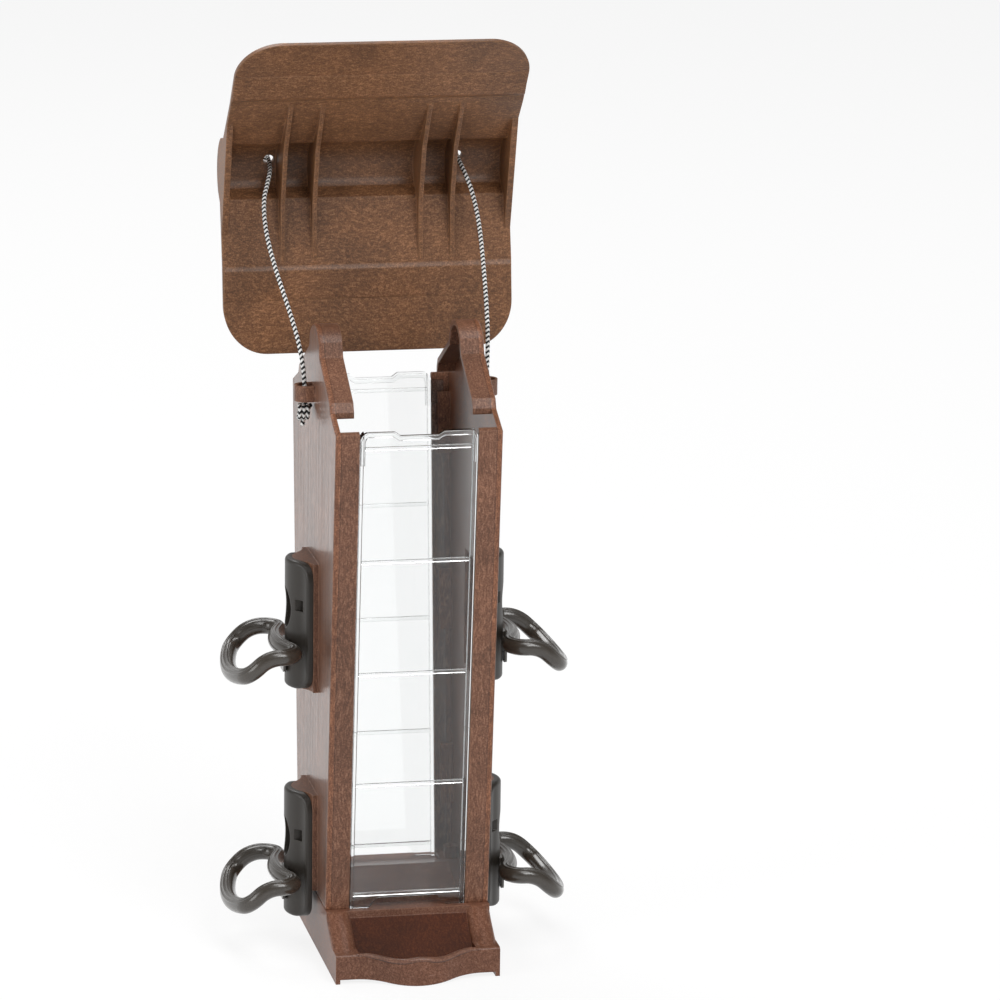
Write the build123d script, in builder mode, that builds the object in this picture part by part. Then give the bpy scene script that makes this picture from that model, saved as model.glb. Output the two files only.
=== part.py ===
"""Hopper bird feeder with a gable lid on a hanging cord, in millimetres.

Two pan-shaped side panels stand on a two-way seed tray. Clear windows slide in behind the panels'
front and rear flanges. Each panel carries two feeding ports with ring perches and a cord lug.
The frame has its origin at the centre of the underside, +X to the right, +Y to the rear, +Z up.
The lid is drawn shut and then tipped back to the open pose in which the hopper is filled.
"""

import os
from math import atan, cos, pi, radians, sin, sqrt, tan

from build123d import *

os.makedirs("parts", exist_ok=True)

# Housing
housing_width = 93.0
shoulder_depth = 144.0
foot_depth = 93.0
panel_height = 279.0
plate_wall = 3.0
flange_width = 13.4
flange_wall = 3.0
panel_edge = 1.2

# Stepped gable of a side panel, from the rounded peak outwards
peak_half = 14.5
peak_fall = 7.1
ridge_step_run = 3.1
ridge_step_fall = 8.0
slope_run = 32.7
slope_fall = 18.1
crease_run = 2.6
crease_fall = 5.1
shoulder_fall = 8.2

# Windows
window_sheet = 2.0
window_lip = 7.0
window_rise = 1.2
slide_clearance = 0.4
face_clearance = 0.6
window_rib_pitch = 66.0
window_rib_height = 1.0
window_rib_width = 2.0
top_rib_drop = 10.0
notch_width = 27.6
notch_slope_run = 3.3
notch_depth = 2.4
window_corner = 4.5
outlet_width = 44.0
outlet_slope_run = 5.0
outlet_height = 6.0

# Retaining tabs behind the windows
tab_width = 7.5
tab_height = 35.0
tab_wall = 2.0
tab_pitch = 102.0
tab_first = 10.0
tab_count = 3

# Feeding ports
boss_edge = 3.0
boss_crown = 11.7
boss_half = 20.0
boss_wall = 3.0
port_wall = 4.0
port_height = 74.0
port_corner = 12.0
port_edge = 2.0
port_levels = {"lower": 54.0, "upper": 188.0}
seed_hole_width = 16.0
seed_hole_height = 24.0
seed_hole_rise = 8.4
seed_hole_margin = 2.0
flank_hole_width = 4.5
flank_hole_height = 6.4
flank_hole_offset = 13.0
flank_hole_rise = 12.0

# Ring perches
perch_drop = 12.0
perch_droop = 43.0
perch_reach = 35.7
perch_half = 38.4
perch_bar = 8.9
perch_gap = 0.3
ear_round = 9.0
ear_reach = 8.0
bend_round = 17.0
nose_round = 11.5
tongue_width = 11.0
tongue_height = 4.6
tongue_fit = 0.15
clip_wall = 1.5
clip_drop = 16.4

# Cord lugs
lug_radius = 6.0
lug_reach = 5.0
lug_height = 9.0
lug_lift = 3.7
lug_bore = 4.6
lug_cup = 9.0
lug_cup_depth = 5.0

# Seed tray
base_height = 32.0
tray_reach = 82.0
rim_nose = 6.0
rim_round = 6.0
rim_wall = 3.0
rim_opening = 0.2
lip_foot = 2.5
lip_height = 16.8
lip_wall = 4.0
lip_edge = 1.8
lip_bow = 10.0
lip_bow_half = 36.0
lip_dip = 2.6
lip_dip_half = 11.0
lip_hump = 1.5
lip_clear = 2.5
lip_sag = 2.4
tray_wall = 3.0
deck_reach = 50.5
ledge_height = 4.0
tray_slope_reach = 76.0
tray_floor = 7.0
seed_ridge = 10.0
seed_ridge_half = 38.0
seed_ridge_gap = 0.8

# Base screws
screw_shank = 3.2
screw_head = 7.0
screw_head_height = 2.4
screw_length = 10.0
screw_spacing = 60.0
screw_boss = 8.4
screw_fit = 0.1

# Lid
lid_width = 167.0
lid_length = 194.0
lid_wall = 3.0
lid_seat = 0.8
lid_crease_fall = 1.0
lid_corner = 25.0
lid_rib_wall = 2.5
lid_rib_clearance = 1.2
lid_rib_flat_half = 17.0
lid_rib_depth = 8.0
lid_end_wall = 3.5
lid_end_half = 35.0
cord_hole = 6.0
cord_hole_spacing = 109.0
tip_angle = 74.0
tip_axis_y = 102.4
tip_axis_rise = 10.3

# Cord
cord_diameter = 2.5
knot_diameter = 9.4
knot_tail = 3.6
knot_lift = 2.0

# Worked-out places
shoulder_z = base_height + panel_height
shoulder_run = shoulder_depth / 2 - peak_half - ridge_step_run - slope_run - crease_run
peak_z = shoulder_z + shoulder_fall + crease_fall + slope_fall + ridge_step_fall + peak_fall
side_x = housing_width / 2
inner_x = side_x - flange_width
taper = atan((shoulder_depth - foot_depth) / 2 / panel_height)
panel_slant = panel_height / cos(taper)
channel_depth = window_sheet + 2 * slide_clearance
lug_x = side_x + lug_reach
screw_x = side_x - flange_width / 2
screw_bore = screw_shank + 2 * screw_fit
upwards = (Align.CENTER, Align.CENTER, Align.MIN)
downwards = (Align.CENTER, Align.CENTER, Align.MAX)
tip_axis = Axis((0, tip_axis_y, shoulder_z + tip_axis_rise), (1, 0, 0))
front = Plane(
    origin=(0, -foot_depth / 2, base_height),
    x_dir=(1, 0, 0),
    z_dir=(0, -cos(taper), -sin(taper)),
)
window_section_plane = Plane(origin=front.origin, x_dir=(1, 0, 0), z_dir=front.y_dir)


def write(piece, name):
    """Label a finished piece and write it as its own file."""
    piece.label = name
    export_step(piece, f"parts/{name}.step")


def roof_points(lift, last_fall):
    """Half of the stepped gable from the foot of the rounded peak to the crease."""
    y, z = peak_half, peak_z - peak_fall + lift
    points = [(y, z)]
    legs = (ridge_step_run, ridge_step_fall), (slope_run, slope_fall), (crease_run, last_fall)
    for run, fall in legs:
        y, z = y + run, z - fall
        points.append((y, z))
    return points


def gable(half, top):
    """Face under a stepped gable: the half outline, mirrored, below an arc through the top."""
    other = [(-y, z) for y, z in reversed(half)]
    with BuildSketch() as face:
        with BuildLine():
            ThreePointArc(other[-1], (0, top), half[0])
            Polyline(*half, *other)
        make_face()
    return face.sketch


def bell(half, edge, crown, grow, floor):
    """Face under a bell curve of two equal arcs a side, moved outwards by grow, down to floor."""
    rise = crown - edge
    radius = (half**2 + rise**2) / (4 * rise)
    turn = Vector(half / 2, radius - rise / 2)
    spread = Vector(half / 2, radius - rise / 2).get_angle(Vector(0, 1)) / 2
    flat = radius - grow
    crest = radius + grow
    unit = turn * (1 / radius)
    hollow, hill = Vector(-half, edge + radius), Vector(0, crown - radius)
    start, middle = Vector(-half, edge + grow), hollow + Vector(unit.X, -unit.Y) * flat
    lean = radians(spread)
    dip = hollow + Vector(sin(lean), -cos(lean)) * flat
    swell = hill + Vector(-sin(lean), cos(lean)) * crest
    with BuildSketch() as face:
        with BuildLine() as outline:
            ThreePointArc(start, dip, middle)
            ThreePointArc(middle, swell, (0, crown + grow))
            Line(start, (-half, floor))
            Line((-half, floor), (0, floor))
            mirror(outline.line, about=Plane.YZ)
        make_face()
    return face.sketch


def port_bell(grow, height, z_low, trim=0):
    """Upright prism over the bell curve on the right panel's face, its flanks cut back by trim."""
    plane = Plane(origin=(side_x, 0, z_low), x_dir=(0, 1, 0), z_dir=(0, 0, 1))
    with BuildPart() as prism:
        with BuildSketch(plane):
            add(bell(boss_half, boss_edge, boss_crown, grow, -plate_wall))
            mirror(about=Plane.XZ, mode=Mode.REPLACE)
            Rectangle(2 * (boss_half - trim), 4 * (boss_crown + port_wall), mode=Mode.INTERSECT)
        extrude(amount=height)
    return prism.part


# Side panels
panel_half = [*roof_points(0, crease_fall), (shoulder_depth / 2, shoulder_z), (foot_depth / 2, base_height)]
panel_face = gable(panel_half, peak_z)
slot_inner = panel_half[3][0]
slot_outer = shoulder_depth / 2 - flange_wall / cos(taper)
tab_level = -(flange_wall + channel_depth + tab_wall / 2)

with BuildPart() as right_side_panel:
    with BuildSketch(Plane.YZ.offset(side_x - plate_wall)):
        add(panel_face)
    extrude(amount=plate_wall)
    with BuildSketch(Plane.YZ.offset(inner_x)):
        add(panel_face)
        offset(panel_face, amount=-flange_wall, kind=Kind.INTERSECTION, mode=Mode.SUBTRACT)
        with Locations((0, shoulder_z)):
            with GridLocations(slot_inner + slot_outer, 0, 2, 1):
                Rectangle(slot_outer - slot_inner, 4 * shoulder_fall, mode=Mode.SUBTRACT)
    extrude(amount=flange_width)
    fillet(right_side_panel.faces().sort_by(Axis.X)[-1].outer_wire().edges(), panel_edge)
    for level in range(tab_count):
        height = panel_slant - tab_first - tab_height / 2 - level * tab_pitch
        with Locations(front.offset(tab_level)):
            with Locations((side_x - plate_wall - tab_width / 2, height)):
                Box(tab_width, tab_height, tab_wall)
    with Locations(front.offset(-flange_wall - channel_depth / 2)):
        with Locations((inner_x + (flange_width - plate_wall) / 2, 0)):
            Box(flange_width - plate_wall, 4 * flange_wall, channel_depth, mode=Mode.SUBTRACT)
    split(bisect_by=Plane.XZ, keep=Keep.TOP)
    mirror(about=Plane.XZ)
    with BuildSketch(Plane.XY.offset(shoulder_z + lug_lift)):
        with Locations((lug_x, 0)):
            Circle(lug_radius)
        with Locations((lug_x - lug_reach / 2, 0)):
            Rectangle(lug_reach, 2 * lug_radius)
    extrude(amount=lug_height)
    with Locations((lug_x, 0, shoulder_z + lug_lift)):
        Cylinder(lug_bore / 2, lug_height, align=upwards, mode=Mode.SUBTRACT)
    with Locations((lug_x, 0, shoulder_z + lug_lift + lug_height - lug_cup_depth)):
        Cylinder(lug_cup / 2, lug_cup_depth, align=upwards, mode=Mode.SUBTRACT)
    for level in port_levels.values():
        low = max(level - port_height / 2, base_height + boss_wall)
        high = level + port_height / 2
        add(port_bell(0, high - low, low))
        hollow = port_bell(-boss_wall, high - low - 2 * boss_wall, low + boss_wall, boss_wall)
        add(hollow, mode=Mode.SUBTRACT)
        with BuildSketch(Plane.YZ.offset(side_x)):
            with Locations((0, level + seed_hole_rise)):
                Ellipse(seed_hole_width / 2 + seed_hole_margin, seed_hole_height / 2 + seed_hole_margin)
        extrude(amount=boss_crown + boss_wall, mode=Mode.SUBTRACT)
        with BuildSketch(Plane.YZ.offset(side_x)):
            with Locations((0, level - perch_drop)):
                Rectangle(tongue_width + 2 * seed_hole_margin, tongue_height + 2 * seed_hole_margin)
        extrude(amount=boss_crown + boss_wall, mode=Mode.SUBTRACT)
    with BuildSketch(Plane.XY.offset(base_height)):
        with Locations((screw_x, 0)):
            with GridLocations(0, screw_spacing, 1, 2):
                Circle(screw_boss / 2)
    extrude(amount=screw_length)
    with Locations((screw_x, 0, base_height)):
        with GridLocations(0, screw_spacing, 1, 2):
            Cylinder(screw_bore / 2, screw_length, align=upwards, mode=Mode.SUBTRACT)

with BuildPart() as left_side_panel:
    mirror(right_side_panel.part, about=Plane.YZ)

write(right_side_panel.part, "right_side_panel")
write(left_side_panel.part, "left_side_panel")

# Windows
face_half = inner_x - face_clearance
lip_depth = flange_wall + slide_clearance + window_sheet
window_length = panel_slant + window_rise
rib_count = int((window_length - top_rib_drop) // window_rib_pitch) + 1

with BuildPart() as front_window:
    with BuildSketch(window_section_plane):
        with Locations((0, window_sheet / 2)):
            Rectangle(2 * face_half, window_sheet)
        for side in (-1, 1):
            with Locations((side * (face_half - window_sheet / 2), lip_depth / 2)):
                Rectangle(window_sheet, lip_depth)
            lip_middle = face_half + (window_lip - window_sheet) / 2
            with Locations((side * lip_middle, lip_depth - window_sheet / 2)):
                Rectangle(window_lip + window_sheet, window_sheet)
    extrude(amount=window_length)
    outlet = (0, outlet_width, outlet_slope_run, outlet_height)
    notch = (window_length, notch_width, notch_slope_run, -notch_depth)
    for edge, width, lean, rise in (outlet, notch):
        with BuildSketch(front):
            with BuildLine():
                Polyline(
                    (-width / 2, edge),
                    (-width / 2 + lean, edge + rise),
                    (width / 2 - lean, edge + rise),
                    (width / 2, edge),
                    close=True,
                )
            make_face()
        extrude(amount=-2 * window_sheet, mode=Mode.SUBTRACT)
    with BuildSketch(front):
        with Locations((0, window_length)):
            Rectangle(4 * side_x, 2 * window_corner)
            with Locations((0, -window_length / 2)):
                RectangleRounded(2 * face_half, window_length, window_corner, mode=Mode.SUBTRACT)
    extrude(amount=-2 * lip_depth, mode=Mode.SUBTRACT)
    for number in range(rib_count):
        height = window_length - top_rib_drop - number * window_rib_pitch
        with Locations(front.offset(-window_sheet - window_rib_height / 2)):
            with Locations((0, height)):
                Box(2 * face_half - window_sheet, window_rib_width, window_rib_height)

with BuildPart() as rear_window:
    mirror(front_window.part, about=Plane.XZ)

write(front_window.part, "front_window")
write(rear_window.part, "rear_window")

# Feeding ports and ring perches, drawn on the right panel at height 0
crown_x = side_x + boss_crown + port_wall
tongue_slot = (tongue_width + 2 * tongue_fit, tongue_height + 2 * tongue_fit)

with BuildPart() as port:
    add(port_bell(port_wall, port_height, -port_height / 2))
    add(port_bell(0, port_height, -port_height / 2), mode=Mode.SUBTRACT)
    with BuildSketch(Plane.YZ.offset(side_x)):
        RectangleRounded(2 * boss_half, port_height, port_corner)
    extrude(amount=crown_x, mode=Mode.INTERSECT)
    outsides = port.faces().filter_by(lambda face: face.normal_at().X > 0.3)
    rims = port.faces().filter_by(lambda face: abs(face.normal_at().X) < 0.01)
    fillet(outsides.edges() & rims.edges(), port_edge)
    with BuildSketch(Plane.YZ.offset(side_x)):
        with Locations((0, seed_hole_rise)):
            Ellipse(seed_hole_width / 2, seed_hole_height / 2)
        with Locations((flank_hole_offset, flank_hole_rise), (-flank_hole_offset, flank_hole_rise)):
            Rectangle(flank_hole_width, flank_hole_height)
        with Locations((0, -perch_drop)):
            Rectangle(*tongue_slot)
    extrude(amount=crown_x, mode=Mode.SUBTRACT)

# Half of a ring's centre line: five tangent arcs from the crest at the port to the tip of the nose
bar_half = perch_bar / 2
ring_half = perch_half - bar_half
crest_reach = bar_half + perch_gap
droop_cos, droop_sin = cos(radians(perch_droop)), sin(radians(perch_droop))
bend_reach = ear_reach + bend_round * droop_sin
nose_length = (perch_reach - bar_half - bend_reach) / droop_cos
root_plane = Plane(origin=(crown_x, 0, -perch_drop))
nose_plane = Plane(
    origin=(crown_x + bend_reach, 0, -perch_drop - bend_round * (1 - droop_cos)),
    x_dir=(droop_cos, 0, -droop_sin),
    z_dir=(droop_sin, 0, droop_cos),
)


def meeting(first, radius, second):
    """Point where an arc about the first centre meets a tangent arc about the second."""
    return first + (second - first).normalized() * radius


ear_depth = ear_reach - crest_reach
ear_side = ring_half - ear_round
crest_round = (ear_depth**2 + ear_side**2 - ear_round**2) / (2 * (ear_round - ear_depth))
nose_side = ring_half - nose_round
front_round = (nose_length**2 + nose_side**2 - nose_round**2) / (2 * (nose_length - nose_round))
crest_centre = Vector(crest_reach - crest_round, 0)
front_centre = Vector(nose_length - front_round, 0)
root_stops = (
    Vector(crest_reach, 0),
    meeting(crest_centre, crest_round, Vector(ear_reach, ear_side)),
    Vector(ear_reach, ring_half),
)
nose_stops = (
    Vector(0, ring_half),
    meeting(front_centre, front_round, Vector(0, nose_side)),
    Vector(nose_length, 0),
)
ring_stops = [root_plane.from_local_coords(stop) for stop in root_stops]
ring_stops += [nose_plane.from_local_coords(stop) for stop in nose_stops]

with BuildPart() as perch:
    with BuildLine():
        heading = Vector(0, 1, 0)
        for start, stop in zip(ring_stops, ring_stops[1:]):
            heading = TangentArc(start, stop, tangent=heading) % 1
    with BuildSketch(Plane(origin=ring_stops[0], z_dir=(0, 1, 0))):
        Circle(bar_half)
    sweep()
    mirror(about=Plane.XZ)
    with Locations((crown_x - port_wall, 0, -perch_drop)):
        outwards = (Align.MIN, Align.CENTER, Align.CENTER)
        Box(port_wall + crest_reach, tongue_width, tongue_height, align=outwards)
    with BuildSketch(Plane.YZ.offset(crown_x + perch_gap)):
        with Locations((0, -perch_drop - clip_drop / 2)):
            RectangleRounded(tongue_width, clip_drop, clip_wall)
    extrude(amount=clip_wall)

for level, height in port_levels.items():
    for side, flip in (("right", False), ("left", True)):
        for kind, piece in (("port", port.part), ("perch", perch.part)):
            placed = piece.moved(Location((0, 0, height)))
            if flip:
                placed = mirror(placed, about=Plane.YZ)
            write(placed, f"{side}_{level}_{kind}")


# Seed tray
def tray_plan(grow):
    """Front half of the tray seen from above: a block whose lip bows out in the middle."""
    with BuildSketch() as plan:
        with Locations((0, (tray_reach + grow) / 2)):
            Rectangle(housing_width, tray_reach + grow)
        add(bell(lip_bow_half, tray_reach, tray_reach + lip_bow, grow, 0))
        mirror(about=Plane.XZ, mode=Mode.REPLACE)
    return plan.sketch


def lip_dips():
    """Upright face above the lip's top edge, which dips on both sides of a low hump."""
    with BuildSketch() as face:
        with BuildLine():
            Spline(
                (-lip_bow_half, lip_height),
                (-lip_dip_half, lip_height - lip_dip),
                (0, lip_height - lip_hump),
                (lip_dip_half, lip_height - lip_dip),
                (lip_bow_half, lip_height),
                tangents=((1, 0), (1, 0)),
            )
            Polyline(
                (lip_bow_half, lip_height),
                (lip_bow_half, base_height),
                (-lip_bow_half, base_height),
                (-lip_bow_half, lip_height),
            )
        make_face()
    return face.sketch


def lip_arch():
    """Upright face below the lip's bottom edge, which sags in the middle between two small feet."""
    with BuildSketch() as face:
        with Locations((0, lip_clear / 2)):
            Rectangle(2 * (side_x - lip_foot), lip_clear)
        with BuildSketch(mode=Mode.PRIVATE) as sag:
            add(bell(lip_bow_half, 0, lip_sag, 0, -lip_clear))
            mirror(about=Plane.XZ, mode=Mode.REPLACE)
        add(sag.sketch.moved(Location((0, lip_clear))), mode=Mode.SUBTRACT)
    return face.sketch


floor_top = [
    (tray_reach + lip_bow, tray_floor),
    (tray_slope_reach, tray_floor),
    (deck_reach, base_height - ledge_height),
    (deck_reach, base_height),
]
floor_under = [
    (tray_reach + lip_bow, tray_floor - tray_wall),
    (tray_slope_reach, tray_floor - tray_wall),
    (deck_reach - tray_wall, base_height - ledge_height - tray_wall),
    (deck_reach - tray_wall, base_height - tray_wall),
]
rim_outline = [
    (tray_reach, 0),
    (tray_reach, lip_height),
    (tray_reach - lip_wall, lip_height),
    (foot_depth / 2 + rim_nose, base_height),
]

with BuildPart() as right_rim:
    with BuildSketch(Plane.YZ.offset(inner_x)):
        with BuildLine():
            Polyline(*rim_outline, *((-y, z) for y, z in reversed(rim_outline)), close=True)
        make_face()
    extrude(amount=flange_width)
    slopes = right_rim.faces().filter_by(lambda face: 0.1 < face.normal_at().Z < 0.9)
    arm_edges = slopes.edges().filter_by(Axis.X, reverse=True)
    fillet(arm_edges + right_rim.edges().filter_by(Axis.X).group_by(Axis.Z)[-1], rim_round)
    nose_edges = right_rim.edges().filter_by(Axis.X).filter_by_position(Axis.Z, lip_height, lip_height)
    fillet(nose_edges.group_by(SortBy.DISTANCE)[-1], lip_edge)
    with BuildSketch(Plane.YZ.offset(inner_x + tray_wall)):
        with BuildLine():
            Polyline(*rim_outline, *((-y, z) for y, z in reversed(rim_outline)), close=True)
        make_face()
        offset(amount=-rim_wall, kind=Kind.INTERSECTION, mode=Mode.REPLACE)
        Rectangle(2 * (tray_reach - rim_wall), 2 * (rim_wall + rim_opening))
    extrude(amount=flange_width - 2 * tray_wall, mode=Mode.SUBTRACT)

with BuildPart() as front_lip:
    with BuildSketch():
        add(tray_plan(0))
        add(tray_plan(-lip_wall), mode=Mode.SUBTRACT)
    extrude(amount=lip_height)
    with BuildSketch(Plane.XZ):
        add(lip_dips())
    extrude(amount=2 * (tray_reach + lip_bow), both=True, mode=Mode.SUBTRACT)
    crowns = front_lip.faces().filter_by(lambda face: face.normal_at().Z > 0.5)
    fillet(crowns.edges().filter_by(lambda edge: (edge % 0.5).cross(Vector(1, 0, 0)).length < 0.6), lip_edge)

with BuildPart() as base_tray:
    with BuildSketch(Plane.YZ.offset(-side_x)):
        with BuildLine():
            Polyline(
                *floor_top,
                *((-y, z) for y, z in reversed(floor_top)),
                *((-y, z) for y, z in floor_under),
                *reversed(floor_under),
                close=True,
            )
        make_face()
    extrude(amount=housing_width)
    with BuildSketch():
        add(tray_plan(-lip_wall / 2))
        mirror(about=Plane.XZ)
    extrude(amount=base_height, mode=Mode.INTERSECT)
    with BuildSketch(Plane.YZ.offset(-inner_x + seed_ridge_gap)):
        with BuildLine():
            Polyline(
                (-seed_ridge_half, base_height),
                (0, base_height + seed_ridge),
                (seed_ridge_half, base_height),
                close=True,
            )
        make_face()
    extrude(amount=2 * (inner_x - seed_ridge_gap))
    with BuildSketch(Plane.YZ.offset(-inner_x + seed_ridge_gap + tray_wall)):
        with BuildLine():
            Polyline(
                (-seed_ridge_half, base_height - tray_wall),
                (0, base_height - tray_wall + seed_ridge),
                (seed_ridge_half, base_height - tray_wall),
                close=True,
            )
        make_face()
    extrude(amount=2 * (inner_x - seed_ridge_gap - tray_wall), mode=Mode.SUBTRACT)
    add(front_lip.part)
    mirror(front_lip.part, about=Plane.XZ)
    add(right_rim.part)
    mirror(right_rim.part, about=Plane.YZ)
    for side in (-1, 1):
        with BuildSketch(Plane.XZ.offset(side * (foot_depth / 2 + rim_nose))):
            add(lip_arch())
        extrude(amount=side * tray_reach, mode=Mode.SUBTRACT)
    with Locations((0, 0, base_height)):
        with GridLocations(2 * screw_x, screw_spacing, 2, 2):
            Cylinder(screw_bore / 2, 2 * tray_wall + base_height / 4, mode=Mode.SUBTRACT)

write(base_tray.part, "base_tray")

with BuildPart() as base_screws:
    with Locations((0, 0, base_height - rim_wall)):
        with GridLocations(2 * screw_x, screw_spacing, 2, 2):
            Cylinder(screw_shank / 2, screw_length, align=upwards)
            Cylinder(screw_head / 2, screw_head_height, align=downwards)

write(base_screws.part, "base_screws")

# Lid, drawn shut over the panels
lid_top = peak_z + lid_seat
lid_crease = roof_points(lid_seat, lid_crease_fall)
eave_pitch = shoulder_fall / shoulder_run
eave_reach = lid_length / 2 + 2 * lid_wall
eave_fall = eave_pitch * (eave_reach - lid_crease[-1][0])
lid_floor = lid_crease[-1][1] - eave_fall - lid_length / 4
lid_eave = (eave_reach, lid_crease[-1][1] - eave_fall)
lid_hollow = gable([*lid_crease, lid_eave, (eave_reach, lid_floor)], lid_top)
rib_flat = lid_crease[1][1] - lid_rib_depth
rib_xs = (side_x + lid_rib_clearance, inner_x - lid_rib_clearance - lid_rib_wall)
chord = lid_crease[1][1] - (lid_end_half - lid_crease[1][0]) * slope_fall / slope_run

with BuildSketch() as rib_face:
    with BuildLine():
        Polyline(
            (-lid_crease[2][0], lid_crease[2][1]),
            (-lid_rib_flat_half, rib_flat),
            (lid_rib_flat_half, rib_flat),
            lid_crease[2],
            (lid_crease[2][0], lid_top),
            (-lid_crease[2][0], lid_top),
            close=True,
        )
    make_face()
    add(lid_hollow, mode=Mode.INTERSECT)

with BuildSketch() as end_face:
    with Locations((0, (chord + lid_top) / 2)):
        Rectangle(2 * lid_crease[2][0], lid_top - chord)
    add(lid_hollow, mode=Mode.INTERSECT)

with BuildPart() as shut_lid:
    with BuildSketch(Plane.YZ.offset(-lid_width / 2)):
        offset(lid_hollow, amount=lid_wall, kind=Kind.INTERSECTION)
        add(lid_hollow, mode=Mode.SUBTRACT)
        with Locations((0, lid_top)):
            Rectangle(lid_length, 2 * (lid_top - lid_floor - 2 * lid_wall), mode=Mode.INTERSECT)
    extrude(amount=lid_width)
    for x in rib_xs:
        with BuildSketch(Plane.YZ.offset(x)):
            add(rib_face.sketch)
        extrude(amount=lid_rib_wall)
    with BuildSketch(Plane.YZ.offset(lid_width / 2 - lid_end_wall)):
        add(end_face.sketch)
    extrude(amount=lid_end_wall)
    mirror(about=Plane.YZ)
    with BuildSketch(Plane.XY.offset(lid_floor)):
        RectangleRounded(lid_width, lid_length, lid_corner)
    extrude(amount=2 * (lid_top - lid_floor), mode=Mode.INTERSECT)
    with Locations((0, 0, lid_top)):
        with GridLocations(cord_hole_spacing, 0, 2, 1):
            Cylinder(cord_hole / 2, 4 * lid_wall, mode=Mode.SUBTRACT)

with BuildPart() as lid:
    add(shut_lid.part.rotate(tip_axis, -tip_angle))

write(lid.part, "lid")

# Hanging cord: a run from each lug to the lid, a loop behind the lid, and a knot under each lug
left_run_points = [
    (-51.5, 0, 313),
    (-51.5, 0, 328),
    (-53.5, 9, 346),
    (-57, 26, 363),
    (-61, 45, 380),
    (-63.5, 63, 397),
    (-62.5, 79, 412),
    (-58, 90, 421),
    (-54.5, 100.6, 427.3),
    (-54.5, 111.2, 430.3),
]
right_run_points = [
    (51.5, 0, 313),
    (51.5, 0, 328),
    (53.5, 8, 347),
    (55.5, 25, 365),
    (57.5, 45, 383),
    (59, 64, 399),
    (58.5, 80, 412.5),
    (56.5, 91, 421.5),
    (54.5, 100.6, 427.3),
    (54.5, 111.2, 430.3),
]
hanger_points = [
    (-54.5, 111.2, 430.3),
    (-54.5, 121.8, 433.3),
    (-54, 130, 430),
    (-52.5, 134, 420),
    (-48.5, 135, 405),
    (-42, 134.5, 389),
    (-31.5, 133.5, 374.5),
    (-17, 132.5, 365),
    (0, 132, 361.5),
    (16.5, 132.5, 364.5),
    (31, 133.5, 374),
    (41.5, 134.5, 388.5),
    (48, 135, 405),
    (52.5, 134, 420),
    (54, 130, 430),
    (54.5, 121.8, 433.3),
    (54.5, 111.2, 430.3),
]


def cord(points, name):
    """Tube along a route whose corners are rounded as far as the shorter of their two runs allows."""
    corners = [Vector(*point) for point in points]
    runs = [b - a for a, b in zip(corners, corners[1:])]
    radii = [
        0.45 * min(a.length, b.length) / tan(radians(a.get_angle(b) / 2)) for a, b in zip(runs, runs[1:])
    ]
    with BuildPart() as tube:
        with BuildLine() as route:
            FilletPolyline(*corners, radius=radii)
        with BuildSketch(Plane(origin=route.line @ 0, z_dir=route.line % 0)):
            Circle(cord_diameter / 2)
        sweep()
    length = sum(edge.length for edge in route.edges())
    ratio = tube.part.volume / (pi * cord_diameter**2 / 4 * length)
    print(name, "length", round(length, 1), "volume over section times length", round(ratio, 4))
    print(name, "radii", [round(radius, 1) for radius in radii])
    write(tube.part, name)


cord(left_run_points, "left_cord_run")
cord(right_run_points, "right_cord_run")
cord(hanger_points, "hanger_loop")

# A ball cut where it is as wide as the cord, and a tail
knot_height = sqrt(knot_diameter**2 - cord_diameter**2)
with BuildPart() as knot:
    with Locations((0, 0, -knot_height / 2)):
        Sphere(knot_diameter / 2)
        downwards = (Align.CENTER, Align.CENTER, Align.MAX)
        Cylinder(cord_diameter / 2, knot_height / 2 + knot_tail, align=downwards)
    split(bisect_by=Plane.XY, keep=Keep.BOTTOM)

for side, name in ((-1, "left_knot"), (1, "right_knot")):
    write(knot.part.moved(Location((side * lug_x, 0, shoulder_z + knot_lift))), name)
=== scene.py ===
# %% [markdown]
# # A hopper bird feeder with a gable lid
#
# The feeder stands on its seed tray with the lid tipped back for filling. Its housing, tray, lid,
# windows, ports and perches come from the fixed frame and keep their shapes. This lesson gives every
# one of them a finish, and models what a solid model shows poorly: the braided hanging cord and its
# knots, the ridges on the perch rings, the rolled rims and creases of the tray's lips, the ledges
# inside the lid and the round-cornered bars of the windows.

import bpy
import numpy as np
from mathutils import Matrix, Vector


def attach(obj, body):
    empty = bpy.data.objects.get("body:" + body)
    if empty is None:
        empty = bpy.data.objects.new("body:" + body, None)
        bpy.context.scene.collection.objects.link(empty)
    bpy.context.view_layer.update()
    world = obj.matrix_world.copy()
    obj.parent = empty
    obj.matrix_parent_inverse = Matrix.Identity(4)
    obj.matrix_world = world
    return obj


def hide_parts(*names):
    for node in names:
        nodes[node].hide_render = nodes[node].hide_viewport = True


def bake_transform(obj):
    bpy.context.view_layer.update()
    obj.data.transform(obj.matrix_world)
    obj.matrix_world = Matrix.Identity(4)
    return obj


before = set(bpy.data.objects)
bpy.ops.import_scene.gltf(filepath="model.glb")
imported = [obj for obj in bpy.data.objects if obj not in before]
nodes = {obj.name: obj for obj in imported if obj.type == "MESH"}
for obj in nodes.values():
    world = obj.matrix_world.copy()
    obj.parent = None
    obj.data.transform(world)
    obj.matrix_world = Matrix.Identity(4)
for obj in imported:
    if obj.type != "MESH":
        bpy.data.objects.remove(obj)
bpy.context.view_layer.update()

# %% [markdown]
# ## Camera
#
# The photograph was taken with a long lens from the front, a little to the left and from above.
# A camera can be aimed by eye, but its place was worked out from the corners of the housing, so it
# is built here from angles and a distance. Two axes of the view follow from the angles, and the third
# is their cross product. Turned by the roll, they become the columns of the camera's rotation.

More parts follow.
